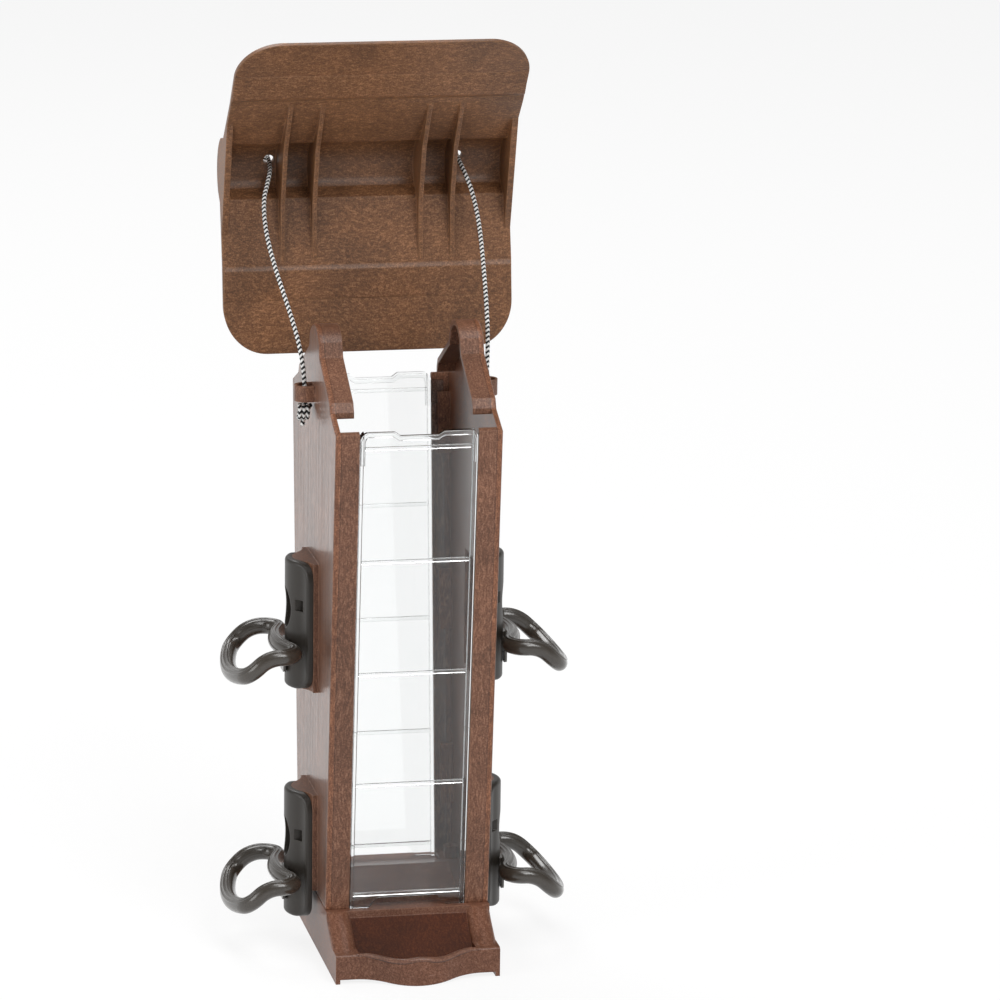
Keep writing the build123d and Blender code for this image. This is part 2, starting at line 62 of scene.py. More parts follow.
# %% Camera at the photograph's place
azimuth, elevation, roll = np.radians([11.657, 14.198, -0.749])
view_distance = 3.2
sensor_width = 36.0
pixels_across = 1000.0
pixels_per_metre = 1776.0
aim_point = np.array([0.0, 0.0, 0.18])
aim_pixel = np.array([395.8, 631.375])

forward = np.array(
    [np.sin(azimuth) * np.cos(elevation), np.cos(azimuth) * np.cos(elevation), -np.sin(elevation)]
)
level_right = np.array([np.cos(azimuth), -np.sin(azimuth), 0.0])
level_up = np.cross(level_right, forward)
off_right, off_down = (aim_pixel - pixels_across / 2) / pixels_per_metre
camera_place = aim_point - off_right * level_right + off_down * level_up - view_distance * forward
right = np.cos(roll) * level_right - np.sin(roll) * level_up
up = np.sin(roll) * level_right + np.cos(roll) * level_up

camera_data = bpy.data.cameras.new("camera")
camera_data.sensor_width = sensor_width
camera_data.lens = pixels_per_metre * view_distance * sensor_width / pixels_across
camera = bpy.data.objects.new("camera", camera_data)
bpy.context.scene.collection.objects.link(camera)
turn = Matrix(np.stack([right, up, -forward], axis=1).tolist()).to_4x4()
camera.matrix_world = Matrix.Translation(camera_place.tolist()) @ turn
bpy.context.scene.camera = camera
print("camera", camera_place.round(3), "lens", round(camera_data.lens, 1))

# %% [markdown]
# ## Shader maths
#
# A material is a small program drawn as nodes. Written as node calls it is hard to read, so one
# class wraps a socket and overloads the operators: an expression on values adds its Math nodes.
# Colours and vectors go through Mix and Vector Math instead, because a Math node turns them grey.


# %% A socket that can be used in expressions
class Wire:
    """One output socket of a node tree. Arithmetic on it adds Math nodes."""

    def __init__(self, tree, socket=None):
        self.tree, self.socket = tree, socket

    def node(self, kind, settings=None, out=0, **inputs):
        """Add a node, set its settings, then set or link its inputs by name, or by i and a number."""
        made = self.tree.nodes.new(kind)
        for key, value in (settings or {}).items():
            setattr(made, key, value)
        for key, value in inputs.items():
            numbered = key[0] == "i" and key[1:].isdigit()
            place = made.inputs[int(key[1:]) if numbered else key.replace("_", " ")]
            if isinstance(value, Wire):
                self.tree.links.new(value.socket, place)
            else:
                place.default_value = value
        return Wire(self.tree, made.outputs[out])

    def part(self, out):
        """Another output of the node that this wire leaves."""
        return Wire(self.tree, self.socket.node.outputs[out])

    def math(self, operation, *others):
        """A Math node on this value and others."""
        values = dict(zip(("i1", "i2"), others))
        return self.node("ShaderNodeMath", {"operation": operation}, i0=self, **values)

    def __add__(self, other):
        return self.math("ADD", other)

    def __sub__(self, other):
        return self.math("SUBTRACT", other)

    def __rsub__(self, other):
        return self.node("ShaderNodeMath", {"operation": "SUBTRACT"}, i0=other, i1=self)

    def __mul__(self, other):
        return self.math("MULTIPLY", other)

    __radd__ = __add__
    __rmul__ = __mul__

    def between(self, low, high):
        """0 below low, 1 above high, and a smooth ramp between."""
        ramp = {"interpolation_type": "SMOOTHSTEP"}
        return self.node("ShaderNodeMapRange", ramp, Value=self, From_Min=low, From_Max=high)

    def mix(self, first, second):
        """The colour first where this value is 0 and second where it is 1."""
        return self.node("ShaderNodeMix", {"data_type": "RGBA"}, out=2, i0=self, i6=first, i7=second)

    def tinted(self, tint):
        """This colour multiplied by another."""
        kind = {"data_type": "RGBA", "blend_type": "MULTIPLY"}
        return self.node("ShaderNodeMix", kind, out=2, i0=1.0, i6=self, i7=tint)

    def axes(self):
        """The three parts of a vector."""
        split = self.node("ShaderNodeSeparateXYZ", Vector=self)
        return [split.part(axis) for axis in range(3)]

    def stretched(self, scale, turn=(0, 0, 0)):
        """These coordinates, multiplied by a scale on each axis and then turned."""
        return self.node("ShaderNodeMapping", Vector=self, Scale=scale, Rotation=turn)

    def noise(self, scale, detail=2.0, roughness=0.5, distortion=0.0):
        """A noise between 0 and 1 at these coordinates."""
        words = {"Scale": scale, "Detail": detail, "Roughness": roughness, "Distortion": distortion}
        return self.node("ShaderNodeTexNoise", Vector=self, **words)

    def warped(self, scale, amount):
        """These coordinates pushed about by a slow colour noise."""
        push = self.node("ShaderNodeTexNoise", out=1, Vector=self, Scale=scale, Detail=1.0)
        middle = self.node("ShaderNodeVectorMath", {"operation": "SUBTRACT"}, i0=push, i1=(0.5, 0.5, 0.5))
        moved = self.node("ShaderNodeVectorMath", {"operation": "SCALE"}, i0=middle, Scale=amount)
        return self.node("ShaderNodeVectorMath", {"operation": "ADD"}, i0=self, i1=moved)

    def bump(self, distance, strength, edge=None):
        """A normal that leans with this height, laid over one that already rounds the edges."""
        under = {"Normal": edge} if edge else {}
        return self.node("ShaderNodeBump", Height=self, Distance=distance, Strength=strength, **under)


methods = [word for word in vars(Wire) if callable(getattr(Wire, word)) and not word.startswith("__")]
print("besides its operators, a wire knows", *methods)

# %% [markdown]
# ## A material and its edges
#
# Every finish starts as one Principled shader. What is the same all over a piece is set on its
# sockets, and what changes over the surface is linked to them. The real mouldings have no knife
# edges, and handling wears what edges there are. Cutting a bevel into the solids would change them, so
# the Bevel node only turns the normals: they leave the flat normal near an edge and nowhere else, so
# the difference also says where the edges are. The finishes paint them lighter there, partly for wear
# and partly as a painted highlight.

# %% Sockets by name
bevel_samples = 6
worn_and_lit_from, worn_and_lit_to = 0.01, 0.2


def new_material(name, **plain):
    """A material with Principled sockets set by name, and a wire for its Object coordinates."""
    material = bpy.data.materials.new(name)
    material.use_nodes = True
    shader = material.node_tree.nodes["Principled BSDF"]
    for key, value in plain.items():
        shader.inputs[key.replace("_", " ")].default_value = value
    return material, Wire(material.node_tree).node("ShaderNodeTexCoord", out="Object")


def finish_with(material, **varying):
    """Link what changes over the surface to the shader's sockets of those names."""
    tree = material.node_tree
    for key, wire in varying.items():
        tree.links.new(wire.socket, tree.nodes["Principled BSDF"].inputs[key.replace("_", " ")])
    print(material.name, "has", len(tree.nodes), "nodes")
    return material


def soft_edge(place, radius):
    """A normal that turns smoothly round every edge, and how far it leans from the flat face there."""
    rounded = place.node("ShaderNodeBevel", {"samples": bevel_samples}, Radius=radius)
    flat = place.node("ShaderNodeNewGeometry", out="Normal")
    dot = {"operation": "DOT_PRODUCT"}
    agree = place.node("ShaderNodeVectorMath", dot, out="Value", i0=rounded, i1=flat)
    return rounded, (1 - agree).between(worn_and_lit_from, worn_and_lit_to)


# edges that lean this far get the full lighter mix, partly wear and partly painted highlight
worn_and_lit_lean = np.degrees(np.arccos(1 - worn_and_lit_to))
print("an edge is fully worn where its normal leans by", worn_and_lit_lean.round(), "degrees")

# %% [markdown]
# ## Wood-fibre plastic
#
# The housing, tray and lid are moulded in a brown plastic filled with fine wood fibres. The fibres
# follow the flow of the melt, so they show as short streaks that swirl a little, lighter and darker
# than the ground. A picture of them would repeat and show seams. A fine noise, stretched along the
# grain and warped by a slow noise, does neither. A finer noise adds specks, and slow clouds keep a
# large face from looking even. The edges take the light colour of the fibres, partly for wear and
# partly as a painted highlight.

# %% Brown plastic with fibres
flow_scale, flow_push = 18.0, 0.02
speck_scale = 1250.0
tone_ramp, fleck_ramp, even_ramp = (0.35, 0.6), (0.5, 0.68), (0.3, 0.7)
fleck_share, worn_and_lit_share = 0.65, 0.5
cloud_scale, cloud_warp, cloud_push = 24.0, 30.0, 0.03
cloud_tints = (0.8, 0.79, 0.78, 1), (1.14, 1.13, 1.12, 1)
least_dullness, added_dullness = 0.44, 0.12
fibre_relief, relief_strength = 0.0003, 0.3
untinted = (1, 1, 1, 1)


def fibres(place, grain, turn):
    """Noise drawn out along the grain, and a finer speckle."""
    flow = place.warped(flow_scale, flow_push)
    streaks = flow.stretched(grain, turn).noise(1.0, detail=2.0, roughness=0.6, distortion=0.5)
    specks = place.noise(speck_scale, detail=2.0, roughness=0.7)
    return streaks, specks


def wood_plastic(name, grain, colours, edge_round, gloss, turn=(0, 0, 0), shade=None, shine=0.4):
    """Brown plastic with fibres. grain is the noise's scale on each axis, smallest along the fibres.

    gloss is the weight of a coat, or a function that works it out from the place. shade is such a
    function for a tint, which paints shade or light onto the colour.
    """
    material, place = new_material(name, Specular_IOR_Level=shine, Coat_Roughness=0.2)
    streaks, specks = fibres(place, grain, turn)
    rounded, worn_and_lit = soft_edge(place, edge_round)
    dark, ground, light = ((*colour, 1) for colour in colours)
    tone = (streaks * 0.45 + specks * 0.55).between(*tone_ramp)
    fleck = (streaks * 0.5 + specks * 0.5).between(*fleck_ramp)
    colour = (fleck * fleck_share).mix(tone.mix(dark, ground), light)
    clouds = place.warped(cloud_warp, cloud_push).noise(cloud_scale, detail=3.0).between(*even_ramp)
    colour = colour.tinted(clouds.mix(*cloud_tints))
    # the shade function paints shade or light: troughs, grooves and the panels' edges
    if shade is not None:
        colour = colour.tinted(shade(place))
    # painted highlight and wear: the edges are mixed towards the light brown of the fibres
    colour = (worn_and_lit * worn_and_lit_share).mix(colour, light)
    coat = (streaks.between(*even_ramp) * 0.5 + 0.75) * (gloss(place) if callable(gloss) else gloss)
    normal = (streaks * 0.5 + specks * 0.5).bump(fibre_relief, relief_strength, rounded)
    roughness = least_dullness + tone * added_dullness
    return finish_with(material, Base_Color=colour, Roughness=roughness, Coat_Weight=coat, Normal=normal)


print("the bump of the fibres is", round(fibre_relief * 1000, 2), "mm high")

# %% [markdown]
# ## Side panels
#
# The fibres of a panel run upwards. Its smooth outer wall is glossier than the rest and has faint
# streaks along the draw of the mould, so it catches the white room at a low angle. In front, the edge
# of the wall shows beside the flange that holds the window. The solid has no bevel there, so the edge
# gets a lighter, warmer tint as painted shading of one, and a fine dark line between the two is a
# painted shadow of the step. Wall, line and edge are each at one distance from the middle of the
# feeder, so the place across the feeder picks them out, and no picture has to be laid on the panel.

# %% Finish of the side panels
outer_wall, inner_wall, plate_line = 0.0465, 0.0435, 0.0432
fade = 0.0002
drawn_grain = 300.0, 300.0, 9.0
outer_coat, drawn_coat, inner_coat, plain_coat = 0.28, 0.4, 0.3, 0.12
# painted light: the wall's edge is tinted as the shading of a bevel, and the line between flange and wall
# is a painted shadow of a step
flange_tint, bevel_shading_tint, step_shadow_tint = (0.93, 0.94, 0.98, 1), (1.12, 1.02, 0.92, 1), (0.6, 0.56, 0.55, 1)


def wall_gloss(place):
    """A coat: strong on a panel's flat outer wall, less so on its inner wall, weak elsewhere."""
    across = place.axes()[0].math("ABSOLUTE")
    outer = 1 - (across - outer_wall).math("ABSOLUTE").between(fade, 2 * fade)
    inner = 1 - (across - inner_wall).math("ABSOLUTE").between(fade, 2 * fade)
    drawn = place.stretched(drawn_grain).noise(1.0, detail=3.0, roughness=0.65).between(*even_ramp)
    return outer * (drawn * drawn_coat + outer_coat) + inner * inner_coat + plain_coat


def plate_edge_shading(place):
    """A tint for the edge of a panel's wall: painted shading of a bevel that the solid lacks, with a fine
    dark line of painted shadow where the flange joins it.
    """
    across = place.axes()[0].math("ABSOLUTE")
    line = 1 - (across - plate_line).math("ABSOLUTE").between(fade / 2, 2 * fade)
    end = across.between(outer_wall - 2 * fade, outer_wall - fade / 2)
    edge = across.between(plate_line, plate_line + fade) * (1 - end)
    return line.mix(edge.mix(flange_tint, bevel_shading_tint), step_shadow_tint)


up_grain = 1000.0, 1000.0, 190.0
panel_browns = (0.098, 0.038, 0.019), (0.2, 0.086, 0.045), (0.37, 0.19, 0.112)
panel_finish = wood_plastic(
    "panel_wood_plastic", up_grain, panel_browns, edge_round=0.0009, gloss=wall_gloss, shade=plate_edge_shading
)

# %% [markdown]
# ## Seed tray
#
# The tray's fibres run out towards its lips. Hands polish its rounded arms and lips, while its two
# troughs are dull. The troughs are also darker, a painted shade for the little light that falls into
# them. The tray is one moulding with one finish, so the finish has to know where the troughs are. It
# could be painted on by hand, but the troughs are simple: each is a box in x, y and z, and only its
# outer end is bowed like the lip, which is a cosine of the place across.

# %% Finish of the tray
trough_half, trough_top, trough_start = 0.0328, 0.0275, 0.0503
lip_half, lip_start, lip_bow = 0.036, 0.0783, 0.01
trough_fade = 0.001
# painted shade: this tint darkens the troughs for the little light that falls into them
trough_shade_tint = (0.42, 0.27, 0.18, 1)
tray_coat = 0.34


def tray_inside(place):
    """1 inside the two troughs and 0 elsewhere: limits on x, y and z, multiplied.

    The outer limit is where the lip starts, plus half its bow times one more than a cosine of x.
    """
    x, y, z = place.axes()
    along = y.math("ABSOLUTE")
    lip = lip_start + ((x * (np.pi / lip_half)).math("COSINE") + 1) * (lip_bow / 2)
    inside = along.between(trough_start, trough_start + trough_fade / 2)
    outside = (along - lip).between(0, 2 * fade)
    beside = x.math("ABSOLUTE").between(trough_half, trough_half + trough_fade)
    above = z.between(trough_top, trough_top + trough_fade)
    return inside * (1 - outside) * (1 - beside) * (1 - above)


def trough_painted_shade(place):
    """A painted shade: a tint that darkens the troughs, where little light falls."""
    return tray_inside(place).mix(untinted, trough_shade_tint)


def tray_gloss(place):
    """A coat on the rounded arms and lips, and none in the troughs."""
    return (1 - tray_inside(place)) * tray_coat


out_grain = 800.0, 330.0, 650.0
tray_browns = (0.105, 0.043, 0.025), (0.18, 0.078, 0.046), (0.27, 0.136, 0.088)
tray_words = {"gloss": tray_gloss, "shade": trough_painted_shade, "shine": 0.12}
tray_finish = wood_plastic("tray_wood_plastic", out_grain, tray_browns, edge_round=0.001, **tray_words)

# %% [markdown]
# ## Lid
#
# The lid is a wide moulding, so the melt spread across it and its fibres lie at a slant. The same
# finish does for it, with a warmer brown and a grain that is turned a little about two axes.

# %% Finish of the lid
swirled_grain, lid_turn = (330.0, 900.0, 760.0), (0, 0.5, 0.35)
lid_browns = (0.092, 0.038, 0.0145), (0.195, 0.084, 0.034), (0.37, 0.183, 0.085)
lid_words = {"gloss": 0.1, "turn": lid_turn}
lid_finish = wood_plastic("lid_wood_plastic", swirled_grain, lid_browns, edge_round=0.0012, **lid_words)

# %% [markdown]
# ## Ports and perches
#
# Ports and perches are a dark taupe plastic with a fine even texture from the mould. Claws keep the
# perches polished, and the ports stay satin. One function makes both: the perches get a coat, and the
# ports get none. The texture is a fine noise and not a pattern, because no direction shows in it.

# %% Dark plastic
taupes = (0.024, 0.0192, 0.0145), (0.045, 0.0368, 0.0287)
worn_and_lit_taupe, worn_and_lit_taupe_share = (0.12, 0.11, 0.1, 1), 0.35
mould_grain, mould_clouds = 2600.0, 40.0
mould_round, mould_relief = 0.0009, 0.00006


def dark_plastic(name, paleness, dullness, coat):
    """Taupe plastic. dullness is its least roughness, and coat the weight of a polish over it."""
    plain = {"Specular_IOR_Level": 0.5, "Coat_Weight": coat, "Coat_Roughness": 0.12}
    material, place = new_material(name, **plain)
    grain = place.noise(mould_grain, detail=1.0)
    clouds = place.noise(mould_clouds, detail=2.0)
    rounded, worn_and_lit = soft_edge(place, mould_round)
    deep, pale = ((*(paleness * part for part in taupe), 1) for taupe in taupes)
    colour = (clouds * 0.6 + grain * 0.4).mix(deep, pale)
    # painted highlight and wear: the edges are mixed towards a pale taupe
    colour = (worn_and_lit * worn_and_lit_taupe_share).mix(colour, worn_and_lit_taupe)
    normal = grain.bump(mould_relief, 0.2, rounded)
    return finish_with(material, Base_Color=colour, Roughness=dullness + grain * 0.1, Normal=normal)


port_finish = dark_plastic("port_plastic", paleness=0.72, dullness=0.36, coat=0.0)
perch_finish = dark_plastic("perch_plastic", paleness=1.25, dullness=0.24, coat=0.6)

# %% [markdown]
# ## Windows and screws
#
# The windows are clear and glossy, so their colour comes from what is behind them and from their
# edges. A see-through colour would hide how thick the sheet is, so light really passes through it and
# bends. Faint scuffs run along the slide. The screws under the deck are plated steel: a metal whose
# scratches change both its tone and its roughness.

# %% Clear plastic and plated steel
clear_tints = (0.965, 0.975, 0.975, 1), (0.985, 0.99, 0.99, 1)
haze_scale, scuff_grain, scuff_ramp = 60.0, (900.0, 900.0, 60.0), (0.55, 0.8)
steel_tones = (0.42, 0.42, 0.43, 1), (0.62, 0.62, 0.63, 1)
scratch_scale = 900.0


def clear_plastic():
    """Plastic that light passes through, a little rougher where it is scuffed."""
    material, place = new_material("clear_plastic", Transmission_Weight=1.0, IOR=1.49)
    colour = place.noise(haze_scale, detail=3.0).mix(*clear_tints)
    scuff = place.stretched(scuff_grain).noise(1.0, detail=2.0).between(*scuff_ramp)
    return finish_with(material, Base_Color=colour, Roughness=0.02 + scuff * 0.06)


def plated_steel():
    """A metal that is paler and rougher where a noise of scratches is high."""
    material, place = new_material("plated_steel", Metallic=1.0)
    scratches = place.noise(scratch_scale, detail=2.0)
    colour = scratches.mix(*steel_tones)
    return finish_with(material, Base_Color=colour, Roughness=0.28 + scratches * 0.15)


clear_finish = clear_plastic()
steel_finish = plated_steel()

# %% [markdown]
# ## Dressing the frame
#
# The names of the frame's pieces end in what they are, so one table of endings gives every copy of a
# piece the same finish. The cord is missing from it, because braided pieces take its place below.

# %% A finish for every piece of the frame
finishes = {
    "panel": panel_finish,
    "window": clear_finish,
    "port": port_finish,
    "perch": perch_finish,
    "base_tray": tray_finish,
    "lid": lid_finish,
    "base_screws": steel_finish,
}
for ending, finish in finishes.items():
    dressed = [node for node in nodes if node.endswith(ending)]
    for node in dressed:
        nodes[node].data.materials.clear()
        nodes[node].data.materials.append(finish)
    print(finish.name, "on", *dressed)

# %% [markdown]
# ## Meshes from grids
#
# The new pieces are thin trim: cords, ridges, rims and bars. They could be drawn by hand, but each has
# a simple rule, so it is a grid of points worked out as one array. A helper turns the grid into faces:
# each cell is a quad, and a direction that closes on itself joins its last row to its first.

# %% Grid to mesh
crisp_angle = np.radians(50)


def grid_faces(rows, columns, close_rows, close_columns):
    """Quads of a grid numbered row by row."""
    r = np.arange(rows if close_rows else rows - 1)
    c = np.arange(columns if close_columns else columns - 1)
    r, c = np.meshgrid(r, c, indexing="ij")
    r2, c2 = (r + 1) % rows, (c + 1) % columns
    corners = [r * columns + c, r * columns + c2, r2 * columns + c2, r2 * columns + c]
    return np.stack(corners, -1).reshape(-1, 4)


def surface(name, grids, finish, close_rows=False, close_columns=False, caps=False, uv=None):
    """An object from grids of points of shape (rows, columns, 3), with caps on open tube ends.

    It is shaded smooth, apart from edges that are sharper than the crisp angle, such as those of caps.
    """
    points, faces = [], []
    for grid in grids:
        rows, columns, _ = grid.shape
        first = len(points)
        points += grid.reshape(-1, 3).tolist()
        faces += (grid_faces(rows, columns, close_rows, close_columns) + first).tolist()
        if caps:
            faces.append(list(range(first, first + columns))[::-1])
            faces.append(list(range(first + (rows - 1) * columns, first + rows * columns)))
    mesh = bpy.data.meshes.new(name)
    mesh.from_pydata(points, [], faces)
    mesh.shade_smooth()
    mesh.set_sharp_from_angle(angle=crisp_angle)
    if uv is not None:
        layer = mesh.uv_layers.new(name="along")
        loops = np.empty(len(mesh.loops), dtype=np.int32)
        mesh.loops.foreach_get("vertex_index", loops)
        layer.data.foreach_set("uv", uv.reshape(-1, 2)[loops].astype(np.float32).ravel())
    mesh.materials.append(finish)
    piece = bpy.data.objects.new(name, mesh)
    bpy.context.scene.collection.objects.link(piece)
    print(name, "has", len(mesh.polygons), "faces")
    return piece


print("a closed grid of 3 by 4 points has", len(grid_faces(3, 4, True, True)), "faces")

# %% [markdown]
# ## Routes of the cord
#
# The feeder hangs on one thin cord. A run of it leaves each lug of the housing, sags to a hole of the
# lid and joins the other run in a loop behind the lid. A simulation could let it fall, but the way
# that it lies in the photograph would be lost. So each route is a list of control points of a smooth
# spline, in millimetres, the same points that the frame's cord has.

# %% Control points of the cord
cord_diameter = 0.0025
left_route = [
    (-51.5, 0, 313),
    (-51.5, 0, 328),
    (-53.5, 9, 346),
    (-57, 26, 363),
    (-61, 45, 380),
    (-63.5, 63, 397),
    (-62.5, 79, 412),
    (-58, 90, 421),
    (-54.5, 100.6, 427.3),
    (-54.5, 111.2, 430.3),
]
right_route = [
    (51.5, 0, 313),
    (51.5, 0, 328),
    (53.5, 8, 347),
    (55.5, 25, 365),
    (57.5, 45, 383),
    (59, 64, 399),
    (58.5, 80, 412.5),
    (56.5, 91, 421.5),
    (54.5, 100.6, 427.3),
    (54.5, 111.2, 430.3),
]
hanger_route = [
    (-54.5, 111.2, 430.3),
    (-54.5, 121.8, 433.3),
    (-54, 130, 430),
    (-52.5, 134, 420),
    (-48.5, 135, 405),
    (-42, 134.5, 389),
    (-31.5, 133.5, 374.5),
    (-17, 132.5, 365),
    (0, 132, 361.5),
    (16.5, 132.5, 364.5),
    (31, 133.5, 374),
    (41.5, 134.5, 388.5),
    (48, 135, 405),
    (52.5, 134, 420),
    (54, 130, 430),
    (54.5, 121.8, 433.3),
    (54.5, 111.2, 430.3),
]
print("control points:", len(left_route), len(right_route), len(hanger_route))

# %% [markdown]
# ## Points and directions along a cord
#
# Blender works out the spline, and its points are read off and spaced evenly. A tube needs two
# directions square to the cord at each point. Worked out afresh they could jump round the cord, so
# each is carried on from the point before.

# %% Lines with normals
spline_steps = 24
start_aside = 0.3, 0.2, 0.93


def spline_points(route):
    """Points, in metres, along the smooth spline that a route in millimetres controls."""
    curve = bpy.data.curves.new("route", "CURVE")
    curve.dimensions = "3D"
    curve.resolution_u = spline_steps
    spline = curve.splines.new("NURBS")
    spline.points.add(len(route) - 1)
    control = np.c_[np.array(route) / 1000, np.ones(len(route))]
    spline.points.foreach_set("co", control.astype(np.float32).ravel())
    spline.order_u = 3
    spline.use_endpoint_u = True
    holder = bpy.data.objects.new("route", curve)
    bpy.context.scene.collection.objects.link(holder)
    mesh = bpy.data.meshes.new_from_object(holder)
    points = np.empty(len(mesh.vertices) * 3, dtype=np.float32)
    mesh.vertices.foreach_get("co", points)
    bpy.data.objects.remove(holder)
    bpy.data.curves.remove(curve)
    bpy.data.meshes.remove(mesh)
    return points.reshape(-1, 3).astype(float)


def evenly(points, step):
    """The same line with points at even steps, and how far along it each one is."""
    along = np.r_[0, np.cumsum(np.linalg.norm(np.diff(points, axis=0), axis=1))]
    places = np.linspace(0, along[-1], int(np.ceil(along[-1] / step)) + 1)
    return np.stack([np.interp(places, along, points[:, k]) for k in range(3)], 1), places


def carried_frames(points):
    """Two normals along a line. Each one is the normal before it with the new tangent taken out."""
    tangents = np.gradient(points, axis=0)
    tangents /= np.linalg.norm(tangents, axis=1, keepdims=True)
    normals = np.empty_like(points)
    normal = np.cross(tangents[0], start_aside)
    for number, tangent in enumerate(tangents):
        normal = normal - tangent * (normal @ tangent)
        normal /= np.linalg.norm(normal)
        normals[number] = normal
    return normals, np.cross(tangents, normals)


print("points on the left run:", len(spline_points(left_route)))

# %% [markdown]
# ## Braid
#
# The cord is braided from black and white yarns, which show as zigzag bands. Modelling every yarn
# would take a great many faces for so thin a cord. Here it is one tube that swells a little under
# each band. The angle round the cord and the distance along it are kept as UVs, so that the finish
# can colour the same bands.

# %% Tube that swells under each band
band_pitch = 0.0028
zigzags = 2
zigzag_rise = 0.45
braid_relief = 0.1
braid_step = 0.0003
braid_sides = 24


def rings(across, other, angle):
    """Directions round a line: the cosine of an angle along one normal, the sine along the other."""
    return across[:, None] * np.cos(angle)[None, :, None] + other[:, None] * np.sin(angle)[None, :, None]


def braided_tube(name, points, finish):
    """A tube along points, as thick as the cord in the middle of each band and thinner between bands.

    Its radius falls with the squared cosine of a phase: the distance along it, counted in bands, plus
    a zigzag of the angle round it.
    """
    line, along = evenly(points, braid_step)
    across, other = carried_frames(line)
    angle = np.linspace(0, 2 * np.pi, braid_sides + 1)
    zigzag = 1 - np.abs(angle / np.pi * zigzags % 2 - 1)
    phase = along[:, None] / band_pitch + zigzag_rise * zigzag
    radius = cord_diameter / 2 * (1 - braid_relief * np.cos(2 * np.pi * phase) ** 2)
    grid = line[:, None] + rings(across, other, angle) * radius[..., None]
    uv = np.stack(np.broadcast_arrays(angle[None] / (2 * np.pi), (along / band_pitch)[:, None]), -1)
    return surface(name, [grid], finish, caps=True, uv=uv), line, along[-1]


print("a black and a white band take", round(band_pitch * 1000, 2), "mm")

# %% [markdown]
# ## Yarns
#
# The real yarns are a bright white and a black with a slight fuzz. The sine of the same phase is
# above or below nought in turn, so a narrow ramp round nought gives the colour of each band. Fine
# slanted waves stand for the threads of a yarn, and raise the surface a little.

# %% Black and white bands
whites = (0.6, 0.6, 0.59, 1), (0.92, 0.92, 0.9, 1)
blacks = (0.004, 0.004, 0.005, 1), (0.02, 0.02, 0.022, 1)
band_edge = 0.18
threads_round, threads_along = 90.0, 9.0
fuzz_scale, thread_relief = 4000.0, 0.0001


def braid_finish():
    """Zigzag bands, black and white in turn, on the UVs of the tube."""
    material, place = new_material("braided_cord", Specular_IOR_Level=0.3)
    round_way, long_way, _ = place.node("ShaderNodeUVMap", {"uv_map": "along"}).axes()
    phase = long_way + (round_way * (2 * zigzags)).math("PINGPONG", 1.0) * zigzag_rise
    band = (phase * (2 * np.pi)).math("SINE")
    yarn = (round_way * threads_round + long_way * threads_along).math("SINE")
    fuzz = place.noise(fuzz_scale, detail=1.0)
    colour = band.between(-band_edge, band_edge).mix(fuzz.mix(*whites), fuzz.mix(*blacks))
    normal = (yarn * 0.3 + fuzz * 0.7).bump(thread_relief, 0.35)
    return finish_with(material, Base_Color=colour, Roughness=0.6 + fuzz * 0.2, Normal=normal)


cord_finish = braid_finish()

# %% [markdown]
# ## Knots
#
# Under each lug the cord ends in a stopper knot, which keeps it from slipping through: it goes round
# itself three times and leaves a short tail. A knot tied exactly is hidden inside itself, so only the
# wraps that show are made, as a coil that lies on its side, slanted a little as a pulled knot is.

# %% Route of a knot
wrap_count = 3
wrap_points = 8
wrap_radius, wrap_pitch, wrap_slant = 3.8, 2.16, 0.16
wrap_start, wrap_drop = -3.7, 4.9
knot_lead = [(0, 0, 0), (0, 0, -0.8), (-2.0, 0.5, -1.2)]
knot_tail = [(2.0, 1.6, -2.6), (0.0, 0.6, -4.6), (-1.2, -0.6, -8.6), (-1.4, -1.0, -12.6)]


def knot_route(top):
    """Control points of a knot under the lug where a cord's run starts.

    The wraps are a helix about the x axis: a cosine upwards, a sine across, and a steady pitch along
    x that leans with the height. The knot of the right side is mirrored.
    """
    turn = np.linspace(0, 2 * np.pi * wrap_count, wrap_points * wrap_count + 1)
    height = wrap_radius * np.cos(turn)
    along = wrap_pitch * turn / (2 * np.pi) + wrap_start + wrap_slant * height
    wraps = np.stack([along, -wrap_radius * np.sin(turn), height - wrap_drop], 1)
    return np.r_[knot_lead, wraps, knot_tail] * (-np.sign(top[0]), 1, 1) + top


print("the left knot has", len(knot_route(left_route[0])), "control points")

# %% [markdown]
# ## Hanging the cord
#
# The braids take the place of the frame's plain cord. The knots belong to the housing, and the loop
# belongs to the lid. The runs are attached to neither body: each stays where it hangs, with its place
# built into its mesh.


# %% Runs, knots and loop
def hang_cord(node, route):
    """Replace a cord of the frame by a braided one, print its length, and return it with its centre line.
    """
    piece, line, length = braided_tube(f"{node}_braid", spline_points(route), cord_finish)
    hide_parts(node)
    print(node, "length", round(length * 1000, 1), "mm")
    return piece, line


for name, route in (("left", left_route), ("right", right_route)):
    knot, _, _ = braided_tube(f"{name}_knot_wraps", spline_points(knot_route(route[0])), cord_finish)
    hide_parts(f"{name}_knot")
    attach(knot, "housing")
    run, line = hang_cord(f"{name}_cord_run", route)
    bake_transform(run)
loop, _ = hang_cord("hanger_loop", hanger_route)
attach(loop, "lid")

# %% [markdown]
# ## Line of a perch ring
#
# A perch is a round bar bent into a ring. It lies flat at the port and droops at its nose. Its centre
# line could be read off the solid, but it is simple enough to be worked out: a chain of arcs, each of
# which leaves the last one in its direction. What counts as the top of the bar tilts with the droop.

# %% Chain of arcs
ring_stops = np.array(
    [
        (66.95, 0, -12),
        (62.11, 21.01, -12),
        (70.2, 33.95, -12),
        (81.79, 33.95, -16.57),
        (89.57, 26.83, -23.82),
        (93.45, 0, -27.44),
    ]
)
ring_tilts = np.radians([0, 0, 0, 43, 43, 43])
arc_points = 20


